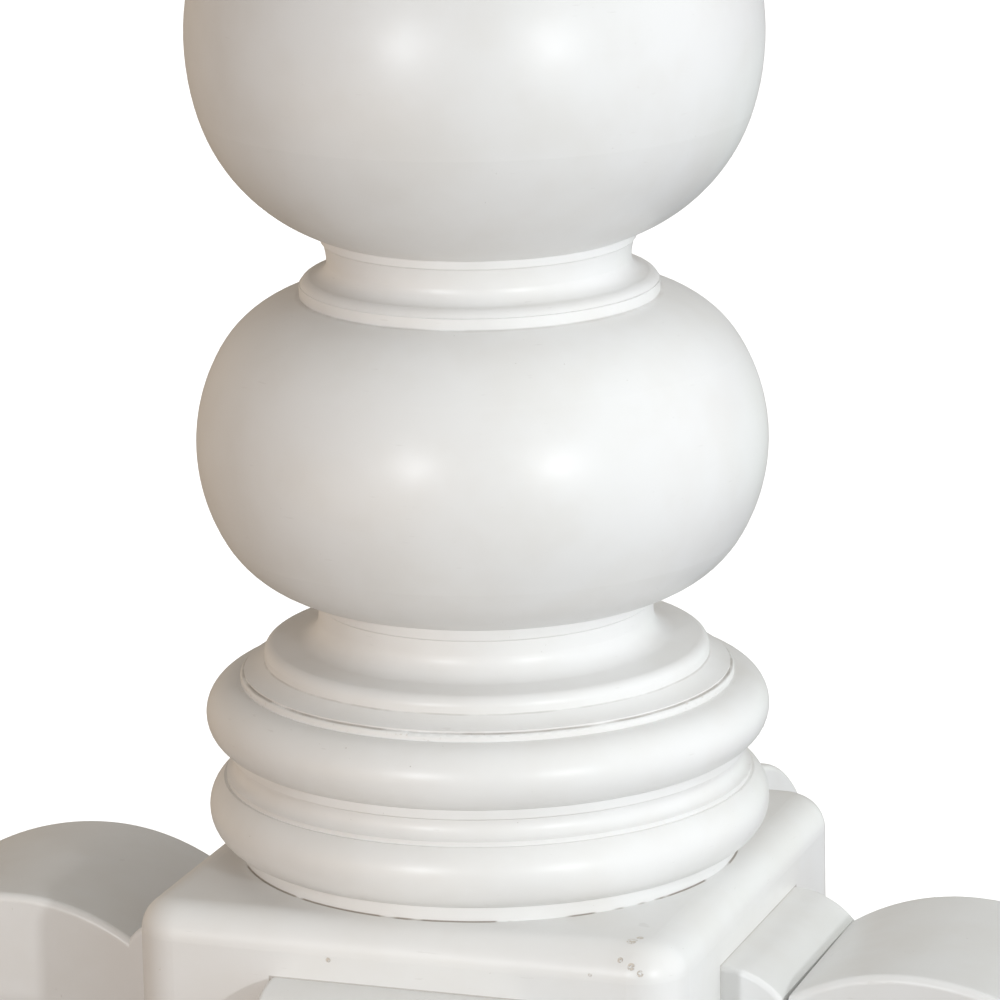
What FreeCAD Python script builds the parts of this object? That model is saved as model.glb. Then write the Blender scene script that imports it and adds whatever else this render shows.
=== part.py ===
import FreeCAD, Part
import math
import os

# Painted turned table pedestal: a square hub on four scroll legs carries a stack of
# turned rings and balls, drawn together by one threaded rod up the middle.
# Millimetres.  +Z is up, the origin is on the floor under the middle of the pedestal,
# and the four legs point along -Y (front), +X (right), +Y (back) and -X (left).

V = FreeCAD.Vector
UP = V(0, 0, 1)

# hub
HUB_HALF = 139.0
HUB_BOTTOM = 44.0
HUB_TOP = 164.0
HUB_CORNER_R = 24.0
HUB_TOP_ROLL_R = 17.0
HUB_LOWER_ARRIS_R = 4.0
POCKET_HALF = 75.0
POCKET_TOP = 134.0
POCKET_CORNER_R = 12.0

# size of the small quirks and arrises between the mouldings
CREASE = 1.0

# turned joints on the centre line
BORE_R = 8.0
SPIGOT_R = 30.0
SPIGOT_LENGTH = 10.0
SOCKET_R = 30.2
SOCKET_DEPTH = 10.5

# base ring: two tori with a scotia between them, heights above the hub top
RING_FOOT_R = 123.0
LOWER_TORUS_MID_R = 120.7
LOWER_TORUS_R = 18.1
LOWER_TORUS_Z = 25.2
LOWER_TORUS_END_ANGLE = 53.5
SCOTIA_LOWER_R = 130.0
SCOTIA_UPPER_R = 125.8
SCOTIA_LOWER_Z = 42.0
SCOTIA_UPPER_Z = 51.6
SCOTIA_HOLLOW = 2.2
UPPER_FILLET_R = 127.8
UPPER_TORUS_MID_R = 122.7
UPPER_TORUS_R = 16.5
UPPER_TORUS_Z = 72.8
UPPER_TORUS_END_ANGLE = 85.0
RING_CAP_R = 122.0
RING_TOP_Z = 93.0
RING_CAP_ARRIS_R = 1.8

# neck ring between the base ring and the lower ball
NECK_FOOT_R = 120.0
NECK_RIM_R = 109.8
NECK_RIM_Z = 99.3
NECK_RIM_TOP_Z = 102.6
NECK_SHOULDER_R = 104.2
NECK_SHOULDER_Z = 107.8
NECK_SHOULDER_BULGE = 1.6
NECK_THROAT_R = 82.6
NECK_COVE_R = 11.5
NECK_COVE_Z = 120.3
NECK_FILLET_R = 83.6
NECK_FILLET_Z = 128.5

# lower ball, flattened; upper ball, rounder and taller
BALL_R = 140.0
LOWER_BALL_Z = 208.3
LOWER_BALL_HALF = 73.4
LOWER_SIDE_R = 90.2
LOWER_SIDE_ANGLE = 30.4
LOWER_SHOULDER_R = 58.2
UPPER_BALL_Z = 409.3
UPPER_BALL_HALF = 96.7
UPPER_SIDE_R = 127.1
UPPER_SIDE_ANGLE = 17.2
UPPER_SHOULDER_R = 90.9

# collar between the balls
COLLAR_BAND_R = 87.9
COLLAR_BAND_TOP = 287.4
COLLAR_SHOULDER_R = 82.9
COLLAR_SHOULDER_Z = 291.0
COLLAR_SHOULDER_BULGE = 0.8
COLLAR_THROAT_R = 74.2
COLLAR_COVE_R = 7.5
COLLAR_COVE_Z = 298.5
COLLAR_FILLET_R = 76.8
COLLAR_FILLET_Z = 308.8
COLLAR_HOLLOW = 0.4

# top collar and mounting board
CAP_HEIGHT = 30.0
CAP_NECK_R = 73.5
CAP_RIM_R = 110.0
CAP_RIM_HEIGHT = 6.0
CAP_SWELLING = 3.0
CAP_FOOT_HEIGHT = 4.0
CAP_CREASE_HEIGHT = 13.0
BOARD_HALF = 160.0
BOARD_THICK = 22.0
BOARD_CORNER_R = 30.0
BOARD_ARRIS_R = 3.0
TABLE_SCREW_SPACING = 270.0
TABLE_SCREW_HOLE_R = 3.25
BOARD_SCREW_PCD = 160.0
BOARD_SCREW_COUNT = 6
BOARD_SCREW_R = 2.5
BOARD_SCREW_LENGTH = 44.0
BOARD_SCREW_HEAD_R = 5.0
BOARD_SCREW_SINK = 0.3

# legs, in profile: u runs outwards from the hub face, z is height above the floor
LEG_WIDTH = 130.0
LEG_ARRIS_R = 4.0
PAD_DEPTH = 30.5
PAD_TOP = 134.0
PAD_BOTTOM = 50.0
PAD_CROWN_R = 40.0
PAD_ARRIS_R = 3.0
KNEE_U = 92.0
KNEE_Z = 137.2
KNEE_INNER_R = 114.0
KNEE_OUTER_R = 138.0
KNEE_OUTER_ANGLE = 40.0
SHIN_R = 60.0
SHIN_ANGLE = 80.0
INSTEP_R = 12.0
INSTEP_ANGLE = 10.0
SOLE_Z = 12.0
SOLE_HEEL_U = 164.0
HEEL_MID_U = 155.0
HEEL_MID_Z = 18.0
HEEL_U = 148.0
HEEL_Z = 26.0
ARCH_MID_U = 95.0
ARCH_MID_Z = 53.0
ARCH_INNER_Z = 60.0
SHOULDER_GAP = 3.2
SHOULDER_GAP_WIDTH = 110.0

# fasteners
ROD_R = 6.0
ROD_BOTTOM = 104.0
NUT_AF = 19.0
NUT_HEIGHT = 10.0
WASHER_R = 20.0
WASHER_THICK = 3.0
NUT_POCKET_R = 22.0
NUT_POCKET_DEPTH = 15.0
BOLT_R = 5.0
BOLT_HOLE_R = 5.5
BOLT_Z = 92.0
BOLT_SPREAD = 35.0
BOLT_INTO_LEG = 90.0
BOLT_INTO_POCKET = 18.0
BOLT_NUT_AF = 17.0
BOLT_NUT_HEIGHT = 8.0
BOLT_WASHER_R = 15.0
BOLT_WASHER_THICK = 2.5
DOWEL_R = 6.0
DOWEL_HEIGHTS = (70.0, 104.0)
DOWEL_START_U = 8.0
DOWEL_LENGTH = 46.0
FIT_GAP = 0.06

# levelling glides
GLIDE_U = 190.0
GLIDE_BASE_R = 19.0
GLIDE_BASE_HEIGHT = 5.5
GLIDE_FLANGE_R = 12.0
GLIDE_FLANGE_THICK = 1.6
GLIDE_SLEEVE_R = 5.6
GLIDE_SLEEVE_LENGTH = 14.0
STUD_R = 4.0
STUD_TOP = 40.0
STUD_HOLE_R = 4.7
STUD_HEAD_R = 7.0
STUD_HEAD_BOTTOM = 1.6
STUD_HEAD_HEIGHT = 1.6
STUD_COLLAR_AF = 13.0
STUD_COLLAR_BOTTOM = 5.8
STUD_COLLAR_HEIGHT = 4.0
GLIDE_GAP = 0.08

LEG_ANGLES = {"front": -90.0, "right": 0.0, "back": 90.0, "left": 180.0}


def outline(start, steps, place=lambda a, b: V(a, 0, b)):
    """Closed wire from a start point and steps: (end,) for a line, (mid, end) for an arc."""
    edges = []
    here = start
    for step in steps:
        if len(step) == 1:
            edges.append(Part.LineSegment(place(*here), place(*step[0])).toShape())
        else:
            edges.append(Part.Arc(place(*here), place(*step[0]), place(*step[1])).toShape())
        here = step[-1]
    if math.dist(here, start) > 1e-6:
        edges.append(Part.LineSegment(place(*here), place(*start)).toShape())
    return Part.Wire(edges)


def turned(start, steps):
    """Solid of revolution about Z from an outline of radius and height."""
    return Part.Face(outline(start, steps)).revolve(V(0, 0, 0), UP, 360)


def on_circle(centre, radius, angle):
    """Point of a circle at an angle in degrees."""
    a = math.radians(angle)
    return (centre[0] + radius * math.cos(a), centre[1] + radius * math.sin(a))


def bulge(start, end, sagitta):
    """Mid point of a shallow arc; a positive sagitta bulges to the right of the way."""
    du = end[0] - start[0]
    dz = end[1] - start[1]
    length = math.hypot(du, dz)
    middle = ((start[0] + end[0]) / 2, (start[1] + end[1]) / 2)
    return (middle[0] + dz / length * sagitta, middle[1] - du / length * sagitta)


def stacked(bottom, outer, top, spigot=True, socket=True):
    """Turned piece on the centre line: bottom and top are (radius, height) of its flat
    ends, outer the steps up its side.  It plugs into the piece below and takes the next."""
    steps = list(outer)
    if socket:
        steps += [((SOCKET_R, top[1]),), ((SOCKET_R, top[1] - SOCKET_DEPTH),)]
        steps += [((BORE_R, top[1] - SOCKET_DEPTH),)]
    else:
        steps += [((BORE_R, top[1]),)]
    if spigot:
        steps += [((BORE_R, bottom[1] - SPIGOT_LENGTH),)]
        steps += [((SPIGOT_R, bottom[1] - SPIGOT_LENGTH),), ((SPIGOT_R, bottom[1]),)]
    else:
        steps += [((BORE_R, bottom[1]),)]
    return turned(bottom, steps)


def cylinder(radius, low, high, x=0.0, y=0.0):
    return Part.makeCylinder(radius, high - low, V(x, y, low), UP)


def hexagon(across_flats, low, high, bore):
    """Hexagonal nut or collar standing on Z."""
    corner = across_flats / math.sqrt(3)
    points = [V(*on_circle((0, 0), corner, 60 * i), low) for i in range(7)]
    solid = Part.Face(Part.makePolygon(points)).extrude(V(0, 0, high - low))
    cone_low = Part.makeCone(across_flats / 2 + 0.2, across_flats, across_flats, V(0, 0, low), UP)
    cone_high = Part.makeCone(across_flats, across_flats / 2 + 0.2, across_flats,
                              V(0, 0, high - across_flats), UP)
    solid = solid.common(cone_low).common(cone_high)
    if bore:
        solid = solid.cut(cylinder(bore, low - 1, high + 1))
    return solid


def lying_along_x(shape):
    """Turn a piece that stands on Z so that it lies along +X."""
    copy = shape.copy()
    copy.rotate(V(0, 0, 0), V(0, 1, 0), 90)
    return copy


def at_leg(shape, name):
    """Turn a piece drawn for the +X leg to the named leg."""
    copy = shape.copy()
    copy.rotate(V(0, 0, 0), UP, LEG_ANGLES[name])
    return copy


def side_profile(start, steps, width):
    """Slab of the given width, cut to an outline of distance from the hub face and height."""
    wire = outline(start, steps, lambda u, z: V(HUB_HALF + u, -width / 2, z))
    return Part.Face(wire).extrude(V(0, width, 0))


def on_side(edge, width):
    """Whether an edge lies wholly in one of the two side faces of a slab."""
    box = edge.BoundBox
    return min(abs(box.YMin), abs(box.YMax)) > width / 2 - 0.01 and box.YLength < 0.01


# ---- hub ------------------------------------------------------------------------------

def bolt_axes():
    """Position (x, y) offsets across the leg of its two hanger bolts."""
    return (-BOLT_SPREAD, BOLT_SPREAD)


def bolt_holes(radius, start_x, end_x):
    """The two bolt holes of the +X leg as one cutter."""
    holes = [Part.makeCylinder(radius, end_x - start_x, V(start_x, y, BOLT_Z), V(1, 0, 0))
             for y in bolt_axes()]
    return holes[0].fuse(holes[1])


def hub_block():
    """Square block with rounded upright corners, a rolled top and a pocket underneath."""
    side = 2 * HUB_HALF
    block = Part.makeBox(side, side, HUB_TOP - HUB_BOTTOM, V(-HUB_HALF, -HUB_HALF, HUB_BOTTOM))
    upright = [e for e in block.Edges if e.BoundBox.ZLength > 1]
    block = block.makeFillet(HUB_CORNER_R, upright)
    rim = [e for e in block.Edges if e.BoundBox.ZMin > HUB_TOP - 0.01]
    block = block.makeFillet(HUB_TOP_ROLL_R, rim)
    foot = [e for e in block.Edges if e.BoundBox.ZMax < HUB_BOTTOM + 0.01]
    block = block.makeFillet(HUB_LOWER_ARRIS_R, foot)
    pocket = Part.makeBox(2 * POCKET_HALF, 2 * POCKET_HALF, POCKET_TOP - HUB_BOTTOM + 5,
                          V(-POCKET_HALF, -POCKET_HALF, HUB_BOTTOM - 5))
    pocket = pocket.makeFillet(POCKET_CORNER_R, [e for e in pocket.Edges if e.BoundBox.ZLength > 1])
    block = block.cut(pocket)
    block = block.cut(cylinder(BORE_R, POCKET_TOP - 1, HUB_TOP + 1))
    block = block.cut(cylinder(SOCKET_R, HUB_TOP - SOCKET_DEPTH, HUB_TOP + 1))
    for name in LEG_ANGLES:
        block = block.cut(at_leg(bolt_holes(BOLT_HOLE_R, POCKET_HALF - 5, HUB_HALF + 5), name))
    return block


# ---- turned column --------------------------------------------------------------------

def up(point):
    """Raise a (radius, height above the hub) point to its height above the floor."""
    return (point[0], point[1] + HUB_TOP)


def base_ring():
    """Ring of two tori with a scotia between them and a square-edged cap."""
    low_c = up((LOWER_TORUS_MID_R, LOWER_TORUS_Z))
    high_c = up((UPPER_TORUS_MID_R, UPPER_TORUS_Z))
    foot_angle = math.degrees(math.acos((RING_FOOT_R - LOWER_TORUS_MID_R) / LOWER_TORUS_R))
    fillet_angle = math.degrees(math.acos((UPPER_FILLET_R - UPPER_TORUS_MID_R) / UPPER_TORUS_R))
    low_torus_end = on_circle(low_c, LOWER_TORUS_R, LOWER_TORUS_END_ANGLE)
    high_torus_end = on_circle(high_c, UPPER_TORUS_R, UPPER_TORUS_END_ANGLE)
    scotia_low = up((SCOTIA_LOWER_R, SCOTIA_LOWER_Z))
    scotia_high = up((SCOTIA_UPPER_R, SCOTIA_UPPER_Z))
    cap_top = up((RING_CAP_R, RING_TOP_Z))
    arris_c = (cap_top[0] - RING_CAP_ARRIS_R, cap_top[1] - RING_CAP_ARRIS_R)
    steps = [
        (on_circle(low_c, LOWER_TORUS_R, -foot_angle),),
        (on_circle(low_c, LOWER_TORUS_R, 0), low_torus_end),
        ((SCOTIA_LOWER_R, low_torus_end[1]),),
        (scotia_low,),
        (bulge(scotia_low, scotia_high, -SCOTIA_HOLLOW), scotia_high),
        ((UPPER_FILLET_R, scotia_high[1] + CREASE),),
        (on_circle(high_c, UPPER_TORUS_R, -fillet_angle),),
        (on_circle(high_c, UPPER_TORUS_R, 0), high_torus_end),
        ((cap_top[0], high_torus_end[1]),),
        ((cap_top[0], arris_c[1]),),
        (on_circle(arris_c, RING_CAP_ARRIS_R, 45), (arris_c[0], cap_top[1])),
    ]
    return stacked(up((RING_FOOT_R, 0)), steps, (arris_c[0], cap_top[1]))


def neck_ring():
    """Sloping foot, rim with a rounded shoulder, then a cove up to a small fillet."""
    top = up((NECK_FILLET_R, LOWER_BALL_Z - LOWER_BALL_HALF))
    foot = up((NECK_FOOT_R, RING_TOP_Z))
    foot_top = (foot[0], foot[1] + CREASE)
    rim = up((NECK_RIM_R, NECK_RIM_Z))
    rim_top = up((NECK_RIM_R, NECK_RIM_TOP_Z))
    shoulder = up((NECK_SHOULDER_R, NECK_SHOULDER_Z))
    cove_c = up((NECK_THROAT_R + NECK_COVE_R, NECK_COVE_Z))
    fillet = up((NECK_FILLET_R, NECK_FILLET_Z))
    steps = [
        (foot_top,),
        (bulge(foot_top, rim, -CREASE / 2), rim),
        (rim_top,),
        (bulge(rim_top, shoulder, NECK_SHOULDER_BULGE), shoulder),
        (on_circle(cove_c, NECK_COVE_R, 270),),
        (on_circle(cove_c, NECK_COVE_R, 225), on_circle(cove_c, NECK_COVE_R, 180)),
        ((up((NECK_THROAT_R, 0))[0], fillet[1] - CREASE),),
        (fillet,),
        (top,),
    ]
    return stacked(foot, steps, top)


def ball_side(centre_z, half, side_r, side_angle, shoulder_r):
    """Steps up the side of a flattened ball: a wide side arc between two shoulder arcs.
    Returns the radius of its flat ends and the steps."""
    side_c = (BALL_R - side_r, centre_z)
    a = math.radians(side_angle)
    shift = side_r - shoulder_r
    high_c = (side_c[0] + shift * math.cos(a), side_c[1] + shift * math.sin(a))
    low_c = (high_c[0], side_c[1] - shift * math.sin(a))
    end_angle = math.degrees(math.asin((centre_z + half - high_c[1]) / shoulder_r))
    mid_angle = (side_angle + end_angle) / 2
    start = on_circle(low_c, shoulder_r, -end_angle)
    steps = [
        (on_circle(low_c, shoulder_r, -mid_angle), on_circle(side_c, side_r, -side_angle)),
        (on_circle(side_c, side_r, 0), on_circle(side_c, side_r, side_angle)),
        (on_circle(high_c, shoulder_r, mid_angle), on_circle(high_c, shoulder_r, end_angle)),
    ]
    return start, steps


def lower_ball():
    start, steps = ball_side(HUB_TOP + LOWER_BALL_Z, LOWER_BALL_HALF, LOWER_SIDE_R,
                             LOWER_SIDE_ANGLE, LOWER_SHOULDER_R)
    return stacked(start, steps, steps[-1][-1])


def upper_ball():
    start, steps = ball_side(HUB_TOP + UPPER_BALL_Z, UPPER_BALL_HALF, UPPER_SIDE_R,
                             UPPER_SIDE_ANGLE, UPPER_SHOULDER_R)
    return stacked(start, steps, steps[-1][-1])


def collar():
    """Band with a rounded shoulder, cove and top fillet between the two balls."""
    foot = up((COLLAR_BAND_R, LOWER_BALL_Z + LOWER_BALL_HALF))
    band_edge = up((COLLAR_BAND_R - CREASE / 2, COLLAR_BAND_TOP))
    band_top = (foot[0], band_edge[1] - CREASE / 2)
    shoulder = up((COLLAR_SHOULDER_R, COLLAR_SHOULDER_Z))
    cove_c = up((COLLAR_THROAT_R + COLLAR_COVE_R, COLLAR_COVE_Z))
    cove_top = on_circle(cove_c, COLLAR_COVE_R, 180)
    fillet = up((COLLAR_FILLET_R, COLLAR_FILLET_Z))
    fillet_low = (fillet[0] - CREASE, fillet[1] - CREASE)
    top = up((COLLAR_FILLET_R, UPPER_BALL_Z - UPPER_BALL_HALF))
    steps = [
        (band_top,),
        (bulge(band_top, band_edge, CREASE / 6), band_edge),
        (bulge(band_edge, shoulder, COLLAR_SHOULDER_BULGE), shoulder),
        (on_circle(cove_c, COLLAR_COVE_R, 270),),
        (on_circle(cove_c, COLLAR_COVE_R, 225), cove_top),
        (bulge(cove_top, fillet_low, -COLLAR_HOLLOW), fillet_low),
        (fillet,),
        (top,),
    ]
    return stacked(foot, steps, top)


def top_collar():
    """Fillet, cove and flaring swelling under the mounting board."""
    base = UPPER_BALL_Z + UPPER_BALL_HALF
    foot = up((COLLAR_FILLET_R, base))
    foot_top = up((COLLAR_FILLET_R, base + CAP_FOOT_HEIGHT))
    cove_low = (foot_top[0] - 2 * CREASE, foot_top[1])
    crease = up((CAP_NECK_R, base + CAP_CREASE_HEIGHT))
    top = up((CAP_RIM_R, base + CAP_HEIGHT))
    rim_low = (top[0], top[1] - CAP_RIM_HEIGHT)
    swell_end = (rim_low[0] - 1.5 * CREASE, rim_low[1] - 1.5 * CREASE)
    steps = [
        (foot_top,),
        (cove_low,),
        (bulge(cove_low, crease, -CREASE), crease),
        (bulge(crease, swell_end, CAP_SWELLING), swell_end),
        (rim_low,),
        (top,),
    ]
    solid = stacked(foot, steps, top, socket=False)
    depth = BOARD_SCREW_LENGTH - BOARD_THICK + 2
    for x, y in board_screw_places():
        solid = solid.cut(cylinder(BOARD_SCREW_R + FIT_GAP, top[1] - depth, top[1] + 1, x, y))
    return solid


def board_screw_places():
    """Places (x, y) of the screws on their circle."""
    turn = 360.0 / BOARD_SCREW_COUNT
    return [on_circle((0, 0), BOARD_SCREW_PCD / 2, turn * i) for i in range(BOARD_SCREW_COUNT)]


def board_bottom():
    return HUB_TOP + UPPER_BALL_Z + UPPER_BALL_HALF + CAP_HEIGHT


def mounting_board():
    """Square board with rounded corners that the table top is screwed down to."""
    low = board_bottom()
    high = low + BOARD_THICK
    side = 2 * BOARD_HALF
    board = Part.makeBox(side, side, BOARD_THICK, V(-BOARD_HALF, -BOARD_HALF, low))
    board = board.makeFillet(BOARD_CORNER_R, [e for e in board.Edges if e.BoundBox.ZLength > 1])
    rim = [e for e in board.Edges if e.BoundBox.ZMax < low + 0.01]
    board = board.makeFillet(BOARD_ARRIS_R, rim)
    board = board.cut(cylinder(BORE_R, low - 1, high + 1))
    board = board.cut(cylinder(NUT_POCKET_R, high - NUT_POCKET_DEPTH, high + 1))
    half = TABLE_SCREW_SPACING / 2
    for x in (-half, half):
        for y in (-half, half):
            board = board.cut(cylinder(TABLE_SCREW_HOLE_R, low - 1, high + 1, x, y))
    for x, y in board_screw_places():
        board = board.cut(cylinder(BOARD_SCREW_R + FIT_GAP, low - 1, high + 1, x, y))
        sink_low = V(x, y, high - BOARD_SCREW_HEAD_R + BOARD_SCREW_SINK)
        board = board.cut(Part.makeCone(BOARD_SCREW_R, BOARD_SCREW_HEAD_R + BOARD_SCREW_SINK,
                                        BOARD_SCREW_HEAD_R, sink_low, UP))
    return board


# ---- fasteners ------------------------------------------------------------------------

def tie_rod():
    """Threaded rod from the hub pocket to the nut pocket in the board."""
    high = board_bottom() + BOARD_THICK - 2.0
    rod = cylinder(ROD_R, ROD_BOTTOM, high)
    return rod.makeChamfer(1.0, rod.Edges)


def rod_nuts():
    nut_pocket_floor = board_bottom() + BOARD_THICK - NUT_POCKET_DEPTH
    lower_top = POCKET_TOP - WASHER_THICK
    upper_low = nut_pocket_floor + WASHER_THICK
    return [hexagon(NUT_AF, lower_top - NUT_HEIGHT, lower_top, ROD_R + FIT_GAP),
            hexagon(NUT_AF, upper_low, upper_low + NUT_HEIGHT, ROD_R + FIT_GAP)]


def rod_washers():
    nut_pocket_floor = board_bottom() + BOARD_THICK - NUT_POCKET_DEPTH
    washers = []
    for low in (POCKET_TOP - WASHER_THICK, nut_pocket_floor):
        ring = cylinder(WASHER_R, low, low + WASHER_THICK)
        washers.append(ring.cut(cylinder(ROD_R + 0.5, low - 1, low + WASHER_THICK + 1)))
    return washers


def board_screws():
    """Countersunk wood screws that hold the board to the top collar."""
    high = board_bottom() + BOARD_THICK
    head_low = high - BOARD_SCREW_HEAD_R + BOARD_SCREW_SINK
    head_height = BOARD_SCREW_HEAD_R - 2 * BOARD_SCREW_SINK
    screws = []
    for x, y in board_screw_places():
        shank = cylinder(BOARD_SCREW_R, high - BOARD_SCREW_LENGTH, head_low + head_height / 2, x, y)
        head = Part.makeCone(BOARD_SCREW_R - BOARD_SCREW_SINK, BOARD_SCREW_HEAD_R - BOARD_SCREW_SINK,
                             head_height, V(x, y, head_low), UP)
        screws.append(shank.fuse(head).removeSplitter())
    return screws


def leg_bolts():
    """Hanger bolts, two to a leg, from the hub pocket through hub and pad into the leg."""
    start = POCKET_HALF - BOLT_INTO_POCKET
    end = HUB_HALF + BOLT_INTO_LEG
    rod = Part.makeCylinder(BOLT_R, end - start, V(start, 0, BOLT_Z), V(1, 0, 0))
    rod = rod.makeChamfer(1.0, rod.Edges)
    return spread_over_legs(rod)


def leg_bolt_nuts():
    nut = lying_along_x(hexagon(BOLT_NUT_AF, 0, BOLT_NUT_HEIGHT, BOLT_R + FIT_GAP))
    nut.translate(V(POCKET_HALF - BOLT_WASHER_THICK - BOLT_NUT_HEIGHT, 0, BOLT_Z))
    return spread_over_legs(nut)


def leg_bolt_washers():
    ring = Part.makeCylinder(BOLT_WASHER_R, BOLT_WASHER_THICK,
                             V(POCKET_HALF - BOLT_WASHER_THICK, 0, BOLT_Z), V(1, 0, 0))
    hole = Part.makeCylinder(BOLT_R + 0.4, BOLT_WASHER_THICK + 2,
                             V(POCKET_HALF - BOLT_WASHER_THICK - 1, 0, BOLT_Z), V(1, 0, 0))
    return spread_over_legs(ring.cut(hole))


def spread_over_legs(shape):
    """Copies of a bolt-line piece of the +X leg at both bolts of all four legs."""
    copies = []
    for name in LEG_ANGLES:
        for y in bolt_axes():
            copy = shape.copy()
            copy.translate(V(0, y, 0))
            copies.append(at_leg(copy, name))
    return copies


def dowel(z, radius=DOWEL_R):
    """Dowel that lines the pad up with its leg, for the +X leg."""
    return Part.makeCylinder(radius, DOWEL_LENGTH, V(HUB_HALF + DOWEL_START_U, 0, z), V(1, 0, 0))


def leg_dowels():
    return [at_leg(dowel(z), name) for name in LEG_ANGLES for z in DOWEL_HEIGHTS]


# ---- legs -----------------------------------------------------------------------------

def pad():
    """Block glued to the inner end of a leg: flat against the hub, its top rolled away."""
    drop = PAD_CROWN_R - math.sqrt(PAD_CROWN_R ** 2 - PAD_DEPTH ** 2)
    half_angle = math.degrees(math.asin(PAD_DEPTH / PAD_CROWN_R)) / 2
    crown_c = (0, PAD_TOP - PAD_CROWN_R)
    steps = [
        ((PAD_DEPTH, PAD_BOTTOM),),
        ((PAD_DEPTH, PAD_TOP - drop),),
        (on_circle(crown_c, PAD_CROWN_R, 90 - half_angle), (0, PAD_TOP)),
    ]
    solid = side_profile((0, PAD_BOTTOM), steps, LEG_WIDTH)
    outer = [e for e in solid.Edges if on_side(e, LEG_WIDTH) and e.BoundBox.XMax > HUB_HALF + 1
             and e.BoundBox.ZMax > PAD_BOTTOM + 1 and e.BoundBox.XLength > 1]
    solid = solid.makeFillet(PAD_ARRIS_R, outer)
    solid = solid.cut(bolt_holes(BOLT_HOLE_R, HUB_HALF - 1, HUB_HALF + PAD_DEPTH + 1))
    for z in DOWEL_HEIGHTS:
        solid = solid.cut(dowel(z, DOWEL_R + FIT_GAP))
    return solid


def tangent_arc(start, radius, from_angle, to_angle, hollow=False):
    """Arc that goes outwards and down, its slope below level turning from one angle to
    another.  A crowned arc bends down and a hollow one bends up.  Returns its mid and end."""
    side = -90 if hollow else 90
    sign = -1 if hollow else 1

    def normal(slope):
        return side - slope

    centre = on_circle(start, -radius, normal(from_angle))
    middle = on_circle(centre, radius, normal((from_angle + to_angle) / 2))
    assert sign * (to_angle - from_angle) > 0
    return middle, on_circle(centre, radius, normal(to_angle))


def shoulder_wedge():
    """Sliver planed off the inner end: the joint with the pad is open along one edge."""
    start = HUB_HALF + PAD_DEPTH
    edge = -LEG_WIDTH / 2
    points = [V(start - 1, edge - 1, 0), V(start + SHOULDER_GAP, edge - 1, 0),
              V(start, edge + SHOULDER_GAP_WIDTH, 0), V(start - 1, edge + SHOULDER_GAP_WIDTH, 0)]
    return Part.Face(Part.makePolygon(points + points[:1])).extrude(V(0, 0, HUB_TOP))


def leg():
    """Scroll leg: a knee that rises from the pad, a steep shin and a small rounded toe."""
    knee_inner_c = (KNEE_U, KNEE_Z - KNEE_INNER_R)
    start_angle = 90 + math.degrees(math.asin((KNEE_U - PAD_DEPTH) / KNEE_INNER_R))
    shoulder = on_circle(knee_inner_c, KNEE_INNER_R, start_angle)
    rise_mid = on_circle(knee_inner_c, KNEE_INNER_R, (90 + start_angle) / 2)
    knee_mid, knee_end = tangent_arc((KNEE_U, KNEE_Z), KNEE_OUTER_R, 0, KNEE_OUTER_ANGLE)
    shin_mid, shin_end = tangent_arc(knee_end, SHIN_R, KNEE_OUTER_ANGLE, SHIN_ANGLE)
    instep_mid, instep_end = tangent_arc(shin_end, INSTEP_R, SHIN_ANGLE, INSTEP_ANGLE, hollow=True)
    lean = math.radians(INSTEP_ANGLE)
    toe_r = (instep_end[1] - SOLE_Z) / (1 + math.cos(lean))
    toe_c = (instep_end[0] - toe_r * math.sin(lean), SOLE_Z + toe_r)
    steps = [
        (rise_mid, (KNEE_U, KNEE_Z)),
        (knee_mid, knee_end),
        (shin_mid, shin_end),
        (instep_mid, instep_end),
        (on_circle(toe_c, toe_r, 0), (toe_c[0], SOLE_Z)),
        ((SOLE_HEEL_U, SOLE_Z),),
        ((HEEL_MID_U, HEEL_MID_Z), (HEEL_U, HEEL_Z)),
        ((ARCH_MID_U, ARCH_MID_Z), (PAD_DEPTH, ARCH_INNER_Z)),
    ]
    solid = side_profile(shoulder, steps, LEG_WIDTH)
    curved = [e for e in solid.Edges if on_side(e, LEG_WIDTH)
              and min(e.BoundBox.XLength, e.BoundBox.ZLength) > 0.1]
    upper = [e for e in curved if e.CenterOfMass.z > ARCH_INNER_Z + 1
             or e.CenterOfMass.x > HUB_HALF + SOLE_HEEL_U + 1]
    solid = solid.makeFillet(LEG_ARRIS_R, upper)
    solid = solid.cut(shoulder_wedge())
    bolt_end = HUB_HALF + BOLT_INTO_LEG + 2
    solid = solid.cut(bolt_holes(BOLT_R + FIT_GAP, HUB_HALF + PAD_DEPTH - 1, bolt_end))
    for z in DOWEL_HEIGHTS:
        solid = solid.cut(dowel(z, DOWEL_R + FIT_GAP))
    x = HUB_HALF + GLIDE_U
    solid = solid.cut(cylinder(STUD_HOLE_R, SOLE_Z - 1, STUD_TOP + 3, x))
    sleeve_top = SOLE_Z + GLIDE_SLEEVE_LENGTH
    return solid.cut(cylinder(GLIDE_SLEEVE_R + FIT_GAP, SOLE_Z - 1, sleeve_top, x))


# ---- levelling glides -----------------------------------------------------------------

def glide_insert():
    """Flanged threaded sleeve pressed into the sole."""
    x = HUB_HALF + GLIDE_U
    sleeve = cylinder(GLIDE_SLEEVE_R, SOLE_Z - GLIDE_FLANGE_THICK, SOLE_Z + GLIDE_SLEEVE_LENGTH, x)
    flange = cylinder(GLIDE_FLANGE_R, SOLE_Z - GLIDE_FLANGE_THICK, SOLE_Z, x)
    solid = sleeve.fuse(flange).removeSplitter()
    return solid.cut(cylinder(STUD_R + GLIDE_GAP, SOLE_Z - 5, SOLE_Z + GLIDE_SLEEVE_LENGTH + 1, x))


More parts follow.
